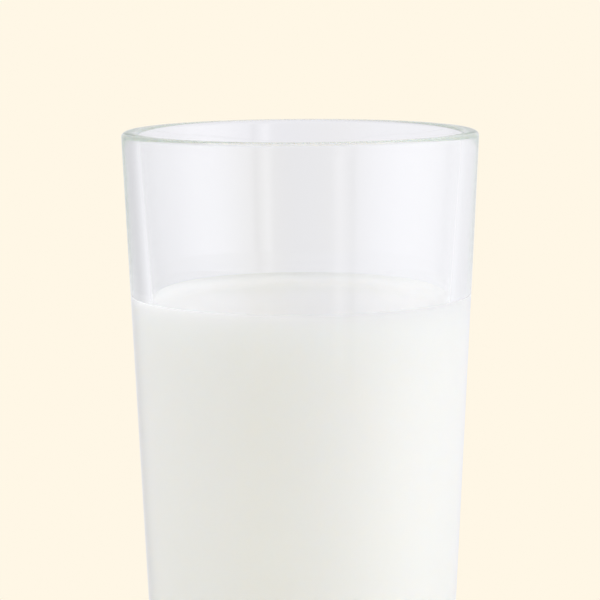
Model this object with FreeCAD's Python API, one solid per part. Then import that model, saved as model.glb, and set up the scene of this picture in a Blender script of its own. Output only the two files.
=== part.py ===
import FreeCAD, Part
import math
import os

# A straight-sided tumbler of clear soda-lime glass, narrower at the foot than at the rim,
# with milk poured into it.  Millimetres, +Z up, origin at the middle of the foot on the table.
# Both pieces are bodies of revolution about Z, so each is one half outline turned once round.

# ---- driving dimensions: the tumbler ----
glass_height = 145.0        # table to the top of the lip
rim_diameter = 72.0         # outside, where the straight outer wall meets the height of the lip
foot_diameter = 58.8        # outside, where the straight outer wall meets the table
rim_wall = 3.25             # glass thickness across the wall at the lip
floor_wall = 6.6            # glass thickness across the wall at the inside bottom
base_thickness = 9.0        # solid glass between the table and the inside bottom
heel_radius = 4.0           # rounding between the outer wall and the bearing ring
floor_corner_radius = 8.0   # rounding between the inner wall and the inside bottom
bearing_width = 3.4         # width of the flat ring that the tumbler stands on
punt_depth = 1.6            # rise of the hollow under the base, at its middle

# ---- driving dimensions: the milk ----
headspace = 35.2            # top of the lip down to the level surface of the milk
meniscus_height = 2.0       # how far the milk climbs the glass above that level
meniscus_radius = 4.0       # curvature of the climbing edge, in section

# ---- slopes of the two straight walls, as radius gained for each millimetre of height ----
outer_slope = (rim_diameter - foot_diameter) / 2 / glass_height
wall_thinning = (floor_wall - rim_wall) / (glass_height - base_thickness)
inner_slope = outer_slope + wall_thinning


def outer_radius(z):
    """Radius of the outside of the wall at height z."""
    return rim_diameter / 2 - outer_slope * (glass_height - z)


def inner_radius(z):
    """Radius of the inside of the wall at height z."""
    return rim_diameter / 2 - rim_wall - inner_slope * (glass_height - z)


def at(radius, z):
    return FreeCAD.Vector(radius, 0, z)


def line(start, end):
    return Part.LineSegment(start, end).toShape()


def arc(start, through, end):
    return Part.Arc(start, through, end).toShape()


def polar(centre, radius, degrees):
    """The point of a circle in the XZ plane at an angle up from +X."""
    turn = math.radians(degrees)
    return at(centre.x + radius * math.cos(turn), centre.z + radius * math.sin(turn))


def round_arc(centre, radius, start_degrees, end_degrees):
    """An arc of a circle in the XZ plane, from one angle to another by the straight way."""
    middle = (start_degrees + end_degrees) / 2
    ends = [polar(centre, radius, turn) for turn in (start_degrees, middle, end_degrees)]
    return arc(*ends)


def lip_arc():
    """Fire-polished lip: the circle that touches both walls and the height of the rim.

    Measured across the wall, the circle's two radii take up the wall's thickness at its centre.
    """
    outer_secant = math.hypot(1, outer_slope)
    inner_secant = math.hypot(1, inner_slope)
    radius = rim_wall / (outer_secant + inner_secant - wall_thinning)
    centre_z = glass_height - radius
    centre = at(outer_radius(centre_z) - radius * outer_secant, centre_z)
    outer_lean = math.degrees(math.atan(outer_slope))
    inner_lean = math.degrees(math.atan(inner_slope))
    return round_arc(centre, radius, -outer_lean, 180 - inner_lean)


def heel_arc():
    """Rounding from the bearing ring, at the table, up into the leaning outer wall."""
    secant = math.hypot(1, outer_slope)
    centre = at(outer_radius(heel_radius) - heel_radius * secant, heel_radius)
    lean = math.degrees(math.atan(outer_slope))
    return round_arc(centre, heel_radius, -90, -lean)


def floor_corner_arc():
    """Rounding from the inner wall down into the flat inside bottom."""
    secant = math.hypot(1, inner_slope)
    centre_z = base_thickness + floor_corner_radius
    centre = at(inner_radius(centre_z) - floor_corner_radius * secant, centre_z)
    lean = math.degrees(math.atan(inner_slope))
    return round_arc(centre, floor_corner_radius, -lean, -90)


def end_points(edge):
    """An edge's first and last points, in the order it was drawn."""
    return edge.valueAt(edge.FirstParameter), edge.valueAt(edge.LastParameter)


def revolve(edges):
    """Turns a closed half outline once round Z into one solid."""
    wire = Part.Wire(Part.__sortEdges__(edges))
    return Part.Face(wire).revolve(at(0, 0), FreeCAD.Vector(0, 0, 1), 360)


def make_glass():
    """The tumbler: a thick base with a shallow punt, straight walls that thin upwards, round lip."""
    heel = heel_arc()
    lip = lip_arc()
    corner = floor_corner_arc()
    ring_outer, wall_foot = end_points(heel)
    lip_outer, lip_inner = end_points(lip)
    corner_top, floor_edge = end_points(corner)
    ring_inner = at(ring_outer.x - bearing_width, 0)
    punt_top = at(0, punt_depth)
    # the punt is part of a ball, so its outline at half the ring's radius is found on that circle
    ball_radius = (ring_inner.x ** 2 + punt_depth ** 2) / (2 * punt_depth)
    half_way = ring_inner.x / 2
    punt_half_way = at(half_way, punt_depth - ball_radius + math.sqrt(ball_radius ** 2 - half_way ** 2))
    return revolve([
        line(at(0, base_thickness), punt_top),
        arc(punt_top, punt_half_way, ring_inner),
        line(ring_inner, ring_outer),
        heel,
        line(wall_foot, lip_outer),
        lip,
        line(lip_inner, corner_top),
        corner,
        line(floor_edge, at(0, base_thickness)),
    ])


def meniscus_arc():
    """The climbing edge of the milk: level where it leaves the surface, steep at the glass."""
    level = glass_height - headspace
    contact = at(inner_radius(level + meniscus_height), level + meniscus_height)
    turn = math.degrees(math.acos(1 - meniscus_height / meniscus_radius))
    centre = at(contact.x - meniscus_radius * math.sin(math.radians(turn)), level + meniscus_radius)
    return round_arc(centre, meniscus_radius, -90, -90 + turn)


def make_milk():
    """The milk: fills the tumbler from its inside bottom, face to face with the glass."""
    corner = floor_corner_arc()
    meniscus = meniscus_arc()
    corner_top, floor_edge = end_points(corner)
    surface_edge, contact = end_points(meniscus)
    floor_middle = at(0, base_thickness)
    surface_middle = at(0, surface_edge.z)
    return revolve([
        line(floor_middle, surface_middle),
        line(surface_middle, surface_edge),
        meniscus,
        line(contact, corner_top),
        corner,
        line(floor_edge, floor_middle),
    ])


os.makedirs("parts", exist_ok=True)
make_glass().exportStep("parts/glass.step")
make_milk().exportStep("parts/milk.step")
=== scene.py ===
from math import atan, cos, hypot, pi, radians, sin

import bpy
import numpy as np
from mathutils import Matrix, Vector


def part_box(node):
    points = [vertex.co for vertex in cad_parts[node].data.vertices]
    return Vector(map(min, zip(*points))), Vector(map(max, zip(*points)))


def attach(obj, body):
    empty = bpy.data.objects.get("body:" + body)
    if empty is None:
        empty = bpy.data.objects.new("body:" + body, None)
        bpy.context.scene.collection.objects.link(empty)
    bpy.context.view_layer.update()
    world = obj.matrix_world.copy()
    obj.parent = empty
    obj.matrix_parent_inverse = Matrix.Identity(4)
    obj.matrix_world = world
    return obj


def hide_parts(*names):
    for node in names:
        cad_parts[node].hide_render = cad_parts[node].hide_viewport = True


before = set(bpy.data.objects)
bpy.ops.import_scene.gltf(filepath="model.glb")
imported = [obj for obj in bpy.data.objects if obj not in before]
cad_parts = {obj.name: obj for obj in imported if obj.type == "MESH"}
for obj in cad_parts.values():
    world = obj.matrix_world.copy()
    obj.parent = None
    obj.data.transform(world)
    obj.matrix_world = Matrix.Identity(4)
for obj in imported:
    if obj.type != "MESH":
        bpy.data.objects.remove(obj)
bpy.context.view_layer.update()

# ---------------------------------------------------------------------------------------------
# Tumbler.  Clear soda-lime glass, pressed with a thick foot, straight walls that thin upwards
# and a lip melted round by a flame.  One closed skin, turned about the upright axis.

milk_low, milk_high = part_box("milk")
glass_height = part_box("glass")[1].z
rim_radius = 0.0360          # where the straight outer wall meets the height of the lip
foot_radius = 0.0294         # where the straight outer wall meets the table
rim_wall = 0.00325           # across the wall at the lip
lip_stretch = 0.6            # how much the lip's circle is squashed in height
floor_wall = 0.0066          # across the wall at the inside bottom
base_thickness = milk_low.z  # the milk stands on the inside bottom
heel_radius = 0.0040
floor_corner_radius = 0.0080
bearing_width = 0.0034       # flat ring that the tumbler stands on
punt_depth = 0.0016          # hollow under the foot, at the axis
outer_slope = (rim_radius - foot_radius) / glass_height
wall_thinning = (floor_wall - rim_wall) / (glass_height - base_thickness)
inner_slope = outer_slope + wall_thinning
turns = 360                  # facets once round
wall_steps = 60              # points up each straight wall


def outer_radius(z):
    """Outside of the wall: loses outer_slope of radius for each metre below the lip."""
    return rim_radius - outer_slope * (glass_height - z)


def inner_radius(z):
    """Inside of the wall: starts rim_wall in from the outside and loses inner_slope a metre."""
    return rim_radius - rim_wall - inner_slope * (glass_height - z)


def arc(centre, radius, start, end, count):
    """Points (r, z) on a circle, at count even steps of angle from start to end in radians."""
    turn = np.linspace(start, end, count)
    return np.column_stack([centre[0] + radius * np.cos(turn), centre[1] + radius * np.sin(turn)])


def straight(start, end, count):
    """Points (r, z) at even steps between two points, leaving out both ends."""
    share = np.linspace(0, 1, count + 2)[1:-1, None]
    return np.asarray(start) * (1 - share) + np.asarray(end) * share


def lip():
    """Half oval touching both walls and the top: a circle, squashed in height."""
    outer_lean, inner_lean = lip_stretch * outer_slope, lip_stretch * inner_slope
    outer_secant, inner_secant = hypot(1, outer_lean), hypot(1, inner_lean)
    radius = rim_wall / (outer_secant + inner_secant - inner_lean + outer_lean)
    centre = (rim_radius - radius * (outer_lean + outer_secant), -radius)
    points = arc(centre, radius, -atan(outer_lean), pi - atan(inner_lean), 49)
    return points * (1, lip_stretch) + (0, glass_height)


def heel():
    """Quarter-turn rounding from the table up into the leaning outer wall."""
    centre = (outer_radius(heel_radius) - heel_radius * hypot(1, outer_slope), heel_radius)
    return arc(centre, heel_radius, -pi / 2, -atan(outer_slope), 17)


def floor_corner(grow=0.0):
    """Rounding from the inner wall down to the inside bottom, grown outwards by grow."""
    z = base_thickness + floor_corner_radius
    centre = (inner_radius(z) - floor_corner_radius * hypot(1, inner_slope), z)
    return arc(centre, floor_corner_radius + grow, -atan(inner_slope), -pi / 2, 21)


def punt(ring_inner):
    """Hollow under the foot: a shallow ball's cap, punt_depth high at the axis."""
    ball = (ring_inner ** 2 + punt_depth ** 2) / (2 * punt_depth)
    r = np.linspace(0, ring_inner, 22)
    return np.column_stack([r, punt_depth - ball + np.sqrt(ball ** 2 - r ** 2)])


def tumbler_outline():
    """Half section from the middle of the underside, out, up, over the lip and down inside."""
    heel_points, lip_points, corner = heel(), lip(), floor_corner()
    ring_inner = heel_points[0, 0] - bearing_width
    middle = np.array([[0.0, base_thickness]])
    return np.concatenate([
        punt(ring_inner),
        straight((ring_inner, 0), heel_points[0], 3),
        heel_points,
        straight(heel_points[-1], lip_points[0], wall_steps),
        lip_points,
        straight(lip_points[-1], corner[0], wall_steps),
        corner,
        straight(corner[-1], middle[0], 12),
        middle,
    ])


def turned(name, outline):
    """A skin turned about Z: vertex (i, j) is outline point i at angle j, with closed poles."""
    angle = np.linspace(0, 2 * pi, turns, endpoint=False)
    rings = outline[1:-1]
    r, z = rings[:, :1], rings[:, 1:]
    ring_points = np.stack([r * np.cos(angle), r * np.sin(angle), z + 0 * angle], -1)
    poles = [[0, 0, outline[0, 1]], [0, 0, outline[-1, 1]]]
    points = np.concatenate([ring_points.reshape(-1, 3), poles])
    i, j = np.meshgrid(np.arange(len(rings) - 1), np.arange(turns), indexing="ij")
    k = (j + 1) % turns
    quads = np.stack([i * turns + j, i * turns + k, (i + 1) * turns + k, (i + 1) * turns + j], -1)
    j, k = j[0], k[0]
    last = (len(rings) - 1) * turns
    first_fan = np.stack([np.full(turns, len(points) - 2), k, j], -1)
    last_fan = np.stack([np.full(turns, len(points) - 1), last + j, last + k], -1)
    faces = quads.reshape(-1, 4).tolist() + first_fan.tolist() + last_fan.tolist()
    mesh = bpy.data.meshes.new(name)
    mesh.from_pydata(points.tolist(), [], faces)
    mesh.shade_smooth()
    piece = bpy.data.objects.new(name, mesh)
    bpy.context.scene.collection.objects.link(piece)
    return piece


tumbler = turned("tumbler", tumbler_outline())


def clear_glass():
    """Clear glass, faintly green where light travels far in it, with slow upright waves."""
    glass = bpy.data.materials.new("clear soda-lime glass")
    glass.use_nodes = True
    nodes, links = glass.node_tree.nodes, glass.node_tree.links
    shader = nodes["Principled BSDF"]
    shader.inputs["Base Color"].default_value = (1, 1, 1, 1)
    shader.inputs["Roughness"].default_value = 0.0
    shader.inputs["IOR"].default_value = 1.52
    shader.inputs["Transmission Weight"].default_value = 1.0
    place = nodes.new("ShaderNodeTexCoord")
    upright = nodes.new("ShaderNodeMapping")
    upright.inputs["Scale"].default_value = (1, 1, 0.15)
    links.new(place.outputs["Object"], upright.inputs["Vector"])
    waves = nodes.new("ShaderNodeTexNoise")
    waves.inputs["Scale"].default_value = 90.0
    waves.inputs["Detail"].default_value = 1.5
    links.new(upright.outputs["Vector"], waves.inputs["Vector"])
    swell = nodes.new("ShaderNodeBump")
    swell.inputs["Strength"].default_value = 1.0
    swell.inputs["Distance"].default_value = 0.00002
    links.new(waves.outputs[0], swell.inputs["Height"])
    links.new(swell.outputs["Normal"], shader.inputs["Normal"])
    tint = nodes.new("ShaderNodeVolumeAbsorption")
    tint.inputs["Color"].default_value = (0.50, 0.67, 0.50, 1)
    tint.inputs["Density"].default_value = 8.0
    links.new(tint.outputs["Volume"], nodes["Material Output"].inputs["Volume"])
    return glass


tumbler.data.materials.append(clear_glass())
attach(tumbler, "root")
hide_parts("glass")

# ---------------------------------------------------------------------------------------------
# Milk.  Whole milk poured into the tumbler.  It wets the glass, so its edge climbs the wall in
# the curve that surface tension gives; below that it fills the tumbler, a hair into the wall.

milk_level = milk_high.z - 0.0020
climb = milk_high.z - milk_level
capillary_length = 0.00215     # root of surface tension over weight density, for milk
reach = 0.00006                # how far the milk's skin lies inside the glass
level_radius = 0.004           # the surface is flat inside this


def meniscus():
    """Free surface by its slope s: height 2 c sin(s/2), distance c(-ln tan(s/4) - 2 cos(s/2))."""
    wall_slope = 2 * np.arcsin(climb / (2 * capillary_length))
    slope = wall_slope * np.linspace(0.01, 1, 48) ** 1.6
    height = 2 * capillary_length * np.sin(slope / 2)
    distance = capillary_length * (-np.log(np.tan(slope / 4)) - 2 * np.cos(slope / 2))
    distance -= distance[-1]
    return np.column_stack([inner_radius(milk_level + climb) - distance, milk_level + height])


edge = meniscus()
edge = edge[edge[:, 0] > level_radius]
contact = np.array([inner_radius(edge[-1, 1]) + reach, edge[-1, 1]])


def milk_in_glass():
    """Half section of the milk's skin that the glass holds, from the middle up to the edge."""
    middle = np.array([0.0, base_thickness - reach])
    corner = floor_corner(reach)[::-1]
    return np.concatenate([
        [middle],
        straight(middle, corner[0], 10),
        corner,
        straight(corner[-1], contact, wall_steps),
        [contact],
    ])


def milk_surface():
    """Half section of the open surface, from the edge in to the middle."""
    return np.concatenate([edge[::-1], straight(edge[0], (0, milk_level), 12), [[0.0, milk_level]]])


held = milk_in_glass()
milk = turned("milk_filling", np.concatenate([held, milk_surface()]))


def whole_milk(name, shine, painted_warm_light):
    """Warm white that light soaks into, a little uneven in cream.

    shine is the gloss of its surface; the last argument is how much less blue it gives back, painted
    warm light that makes the open surface warmer than the milk against the glass.
    """
    material = bpy.data.materials.new(name)
    material.use_nodes = True
    nodes, links = material.node_tree.nodes, material.node_tree.links
    shader = nodes["Principled BSDF"]
    shader.subsurface_method = "RANDOM_WALK"
    shader.inputs["Roughness"].default_value = 0.03
    shader.inputs["IOR"].default_value = 1.35
    shader.inputs["Specular IOR Level"].default_value = shine
    shader.inputs["Subsurface Weight"].default_value = 1.0
    shader.inputs["Subsurface Radius"].default_value = (1.0, 0.95, 0.88)
    shader.inputs["Subsurface Scale"].default_value = 0.008
    place = nodes.new("ShaderNodeTexCoord")
    cream = nodes.new("ShaderNodeTexNoise")
    cream.inputs["Scale"].default_value = 45.0
    cream.inputs["Detail"].default_value = 3.0
    links.new(place.outputs["Object"], cream.inputs["Vector"])
    colour = nodes.new("ShaderNodeMix")
    colour.data_type = "RGBA"
    colour.inputs["A"].default_value = (0.994, 0.968, 0.953 - painted_warm_light, 1)
    colour.inputs["B"].default_value = (0.999, 0.976, 0.962 - painted_warm_light, 1)
    links.new(cream.outputs[0], colour.inputs["Factor"])
    links.new(colour.outputs["Result"], shader.inputs["Base Color"])
    return material


milk.data.materials.append(whole_milk("whole milk in the glass", 0.0, 0.0))
# The open surface is painted 0.08 less blue than the milk against the glass: painted warm light, not
# a different milk.
milk.data.materials.append(whole_milk("whole milk open surface", 0.4, 0.08))

# The open surface takes the second material, and the ring where it meets the glass is a crease.
# Faces run band by band up the outline, then the fans at its first and last point.
bands = len(held) - 1
last_ring = len(milk.data.polygons) - turns
surface = np.arange(len(milk.data.polygons)) >= bands * turns
surface[last_ring - turns:last_ring] = False
milk.data.polygons.foreach_set("material_index", surface.astype("int32"))
ends = np.empty(2 * len(milk.data.edges), dtype="int32")
milk.data.edges.foreach_get("vertices", ends)
on_contact = (ends.reshape(-1, 2) // turns == bands - 1).all(axis=1)
crease = milk.data.attributes.new("sharp_edge", "BOOLEAN", "EDGE")
crease.data.foreach_set("value", on_contact)
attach(milk, "root")
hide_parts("milk")

# ---------------------------------------------------------------------------------------------
# Tabletop.  Plain pale board under the tumbler; it takes the contact shadow and fades away
# outwards into the backdrop.

tabletop_reach = 0.20
tabletop_gap = 0.00005         # air under the foot, which never lies dead flat
tabletop_turns = 96            # facets once round


def disc(name, reach, rings):
    """Flat round sheet just under the foot, as rings of quads round a small middle."""
    r = np.linspace(0.001, reach, rings)[:, None]
    angle = np.linspace(0, 2 * pi, tabletop_turns, endpoint=False)
    level = -tabletop_gap + 0 * r + 0 * angle
    points = np.stack([r * np.cos(angle), r * np.sin(angle), level], -1).reshape(-1, 3)
    i, j = np.meshgrid(np.arange(rings - 1), np.arange(tabletop_turns), indexing="ij")
    k = (j + 1) % tabletop_turns
    near, far = i * tabletop_turns, (i + 1) * tabletop_turns
    quads = np.stack([near + j, far + j, far + k, near + k], -1)
    mesh = bpy.data.meshes.new(name)
    middle = [list(range(tabletop_turns))]
    mesh.from_pydata(points.tolist(), [], quads.reshape(-1, 4).tolist() + middle)
    sheet = bpy.data.objects.new(name, mesh)
    bpy.context.scene.collection.objects.link(sheet)
    return sheet


tabletop = disc("tabletop", tabletop_reach, 24)


def pale_board():
    """Matt cream paint, solid under the tumbler and fading to nothing outwards."""
    board = bpy.data.materials.new("pale board")
    board.use_nodes = True
    nodes, links = board.node_tree.nodes, board.node_tree.links
    shader = nodes["Principled BSDF"]
    shader.inputs["Roughness"].default_value = 0.9
    shader.inputs["Specular IOR Level"].default_value = 0.0
    shader.inputs["Base Color"].default_value = (0.96, 0.90, 0.78, 1)
    place = nodes.new("ShaderNodeTexCoord")
    distance = nodes.new("ShaderNodeVectorMath")
    distance.operation = "LENGTH"
    links.new(place.outputs["Object"], distance.inputs[0])
    fade = nodes.new("ShaderNodeMapRange")
    fade.interpolation_type = "SMOOTHSTEP"
    fade.inputs["From Min"].default_value = 0.17
    fade.inputs["From Max"].default_value = 0.05
    links.new(distance.outputs["Value"], fade.inputs["Value"])
    links.new(fade.outputs["Result"], shader.inputs["Alpha"])
    return board


tabletop.data.materials.append(pale_board())

# ---------------------------------------------------------------------------------------------
# Studio.  A big soft box on the right, a softer one on the left, a wide white card low behind and
# one upright strip of light near the camera, with black flags that hold light back, all far off;
# a plain cream backdrop; and the camera.

world = bpy.data.worlds.new("studio")
bpy.context.scene.world = world
world.use_nodes = True
nodes, links = world.node_tree.nodes, world.node_tree.links


def wire(kind, operation, *values):
    """Adds a Math or Vector Math node to the studio; each value is a socket or a number."""
    node = nodes.new(kind)
    node.operation = operation
    for socket, value in zip(node.inputs, values):
        if hasattr(value, "is_linked"):
            links.new(value, socket)
        else:
            socket.default_value = value
    return node


def brighter(light, more):
    return wire("ShaderNodeMath", "ADD", light, more).outputs[0]


def soft_box(azimuth, elevation, spread, brightness):
    """Glow round one direction: brightness x exp((cosine - 1) / spread), azimuth from the camera."""
    a, e = radians(azimuth), radians(elevation)
    aim = (sin(a) * cos(e), -cos(a) * cos(e), sin(e))
    cosine = wire("ShaderNodeVectorMath", "DOT_PRODUCT", ray, aim).outputs["Value"]
    away = wire("ShaderNodeMath", "SUBTRACT", cosine, 1.0).outputs[0]
    fall = wire("ShaderNodeMath", "DIVIDE", away, spread).outputs[0]
    glow = wire("ShaderNodeMath", "EXPONENT", fall).outputs[0]
    return wire("ShaderNodeMath", "MULTIPLY", glow, brightness).outputs[0]


def upright_strip(azimuth, width, lowest, brightness):
    """Soft upright bar: exp(-(angle across / width) ^ 2), fading out below the height lowest."""
    across = wire("ShaderNodeMath", "SUBTRACT", turn, radians(azimuth)).outputs[0]
    steps = wire("ShaderNodeMath", "DIVIDE", across, radians(width)).outputs[0]
    square = wire("ShaderNodeMath", "POWER", steps, 2.0).outputs[0]
    negative = wire("ShaderNodeMath", "MULTIPLY", square, -1.0).outputs[0]
    bell = wire("ShaderNodeMath", "EXPONENT", negative).outputs[0]
    above = wire("ShaderNodeMath", "SUBTRACT", height, sin(radians(lowest))).outputs[0]
    share = wire("ShaderNodeMath", "MULTIPLY", above, 20.0).outputs[0]
    share = wire("ShaderNodeMath", "ADD", share, 0.5)
    share.use_clamp = True
    bar = wire("ShaderNodeMath", "MULTIPLY", bell, share.outputs[0]).outputs[0]
    return wire("ShaderNodeMath", "MULTIPLY", bar, brightness).outputs[0]


ray = nodes.new("ShaderNodeTexCoord").outputs["Generated"]
parts = nodes.new("ShaderNodeSeparateXYZ")
links.new(ray, parts.inputs["Vector"])
height = parts.outputs["Z"]
forward = wire("ShaderNodeMath", "MULTIPLY", parts.outputs["Y"], -1.0).outputs[0]
turn = wire("ShaderNodeMath", "ARCTAN2", parts.outputs["X"], forward).outputs[0]
light = soft_box(72, 11, 0.24, 1.47)                                # box on the right
light = brighter(light, soft_box(-81, 12, 0.70, 1.00))              # box on the left
light = brighter(light, soft_box(139, -18, 2.0, 0.765))             # card behind
light = brighter(light, upright_strip(25, 3.6, -14, 0.65))          # strip of light
light = brighter(light, upright_strip(34, 2.5, -14, -0.5))          # its flag
light = brighter(light, upright_strip(-153, 14, -60, -0.22))        # flag behind on the left
light = brighter(light, soft_box(-135, 38, 0.15, -0.35))            # flag above that
warmth = soft_box(-26, -14, 0.08, -1.0)
colour = nodes.new("ShaderNodeCombineColor")
for channel, tone, warm in (("Red", 1.005, 0.0), ("Green", 0.996, 0.06), ("Blue", 1.040, 0.34)):
    plain = wire("ShaderNodeMath", "MULTIPLY", light, tone).outputs[0]
    lost = wire("ShaderNodeMath", "MULTIPLY", warmth, warm).outputs[0]
    links.new(brighter(plain, lost), colour.inputs[channel])
background = nodes["Background"]
links.new(colour.outputs["Color"], background.inputs["Color"])
backdrop = nodes.new("ShaderNodeBackground")
backdrop.inputs["Color"].default_value = (1.0, 0.930, 0.791, 1)
path = nodes.new("ShaderNodeLightPath")
mix = nodes.new("ShaderNodeMixShader")
links.new(path.outputs["Is Camera Ray"], mix.inputs["Fac"])
links.new(background.outputs[0], mix.inputs[1])
links.new(backdrop.outputs[0], mix.inputs[2])
links.new(mix.outputs[0], nodes["World Output"].inputs["Surface"])

camera_data = bpy.data.cameras.new("camera")
camera_data.lens = 155.6
camera = bpy.data.objects.new("camera", camera_data)
bpy.context.scene.collection.objects.link(camera)
camera.matrix_world = (
    Matrix.Translation((-0.0002, -14.5 * rim_radius, glass_height + 0.994 * rim_radius))
    @ Matrix.Rotation(radians(90 - 7.673), 4, "X")
    @ Matrix.Rotation(radians(-0.295), 4, "Z")
)
bpy.context.scene.camera = camera
bpy.context.scene.view_settings.view_transform = "Standard"
cycles = bpy.context.scene.cycles
cycles.blur_glossy = 0.0
cycles.max_bounces = 64
cycles.diffuse_bounces = 16
cycles.glossy_bounces = 32
cycles.transmission_bounces = 64
